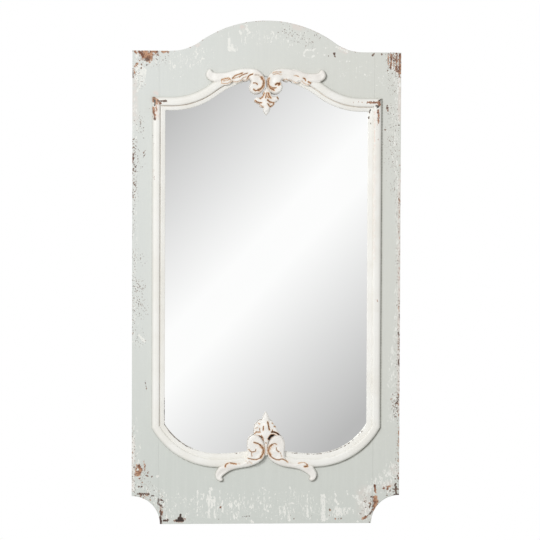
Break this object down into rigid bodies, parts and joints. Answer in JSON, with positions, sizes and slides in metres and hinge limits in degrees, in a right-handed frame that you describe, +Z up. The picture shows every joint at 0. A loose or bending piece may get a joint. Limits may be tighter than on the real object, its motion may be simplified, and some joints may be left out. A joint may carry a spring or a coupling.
{
  "type": "bathroom mirror",
  "caption": "Tall wall mirror with a camel-back crest, a rubbed grey-green board frame, ivory moulding and carved scrolls.",
  "frame": {"origin": "the wall plane, at the height of the boards' bottom edge, midway between the frame's sides", "axes": "+X to the right of someone facing the mirror, -Y out of the glass towards them, +Z up"},
  "size_m": [0.61, 0.045, 1.143],
  "materials": {
    "board_paint": "rubbed grey-green paint",
    "moulding_paint": "rubbed ivory paint",
    "ornament_paint": "ivory paint with brown in the hollows",
    "bare_wood": "bare beech",
    "silvered_glass": "silvered float glass",
    "soft_rubber": "soft black rubber",
    "packing": "plain grey-brown board",
    "hardboard": "bare hardboard",
    "zinc_steel": "bright zinc plate"
  },
  "bodies": {
    "frame": {"left_stile": "board_paint", "right_stile": "board_paint", "crest_rail": "board_paint", "base_rail": "board_paint", "joint_dowels": "bare_wood", "moulding_left": "moulding_paint", "moulding_right": "moulding_paint", "moulding_top_left": "moulding_paint", "moulding_top_right": "moulding_paint", "moulding_bottom_left": "moulding_paint", "moulding_bottom_right": "moulding_paint", "crest_scroll_left": "ornament_paint", "crest_scroll_right": "ornament_paint", "crest_pendant": "ornament_paint", "base_scroll_left": "ornament_paint", "base_scroll_right": "ornament_paint", "base_palmette": "ornament_paint", "mirror_glass": "silvered_glass", "setting_blocks": "soft_rubber", "packing_sheet": "packing", "back_panel": "hardboard", "back_panel_screws": "zinc_steel", "hanger_strap_left": "zinc_steel", "hanger_strap_right": "zinc_steel", "hanger_screws": "zinc_steel", "wall_bumpers": "soft_rubber"},
    "left_ring": {"hanger_ring_left": "zinc_steel"},
    "right_ring": {"hanger_ring_right": "zinc_steel"}
  },
  "joints": [
    {"name": "left_ring_hinge", "type": "hinge", "parent": "frame", "child": "left_ring", "pos_m": [-0.286, -0.0039, 0.88], "axis": [1, 0, 0], "range_deg": [0, 180]},
    {"name": "right_ring_hinge", "type": "hinge", "parent": "frame", "child": "right_ring", "pos_m": [0.286, -0.0039, 0.88], "axis": [1, 0, 0], "range_deg": [0, 180]}
  ]
}
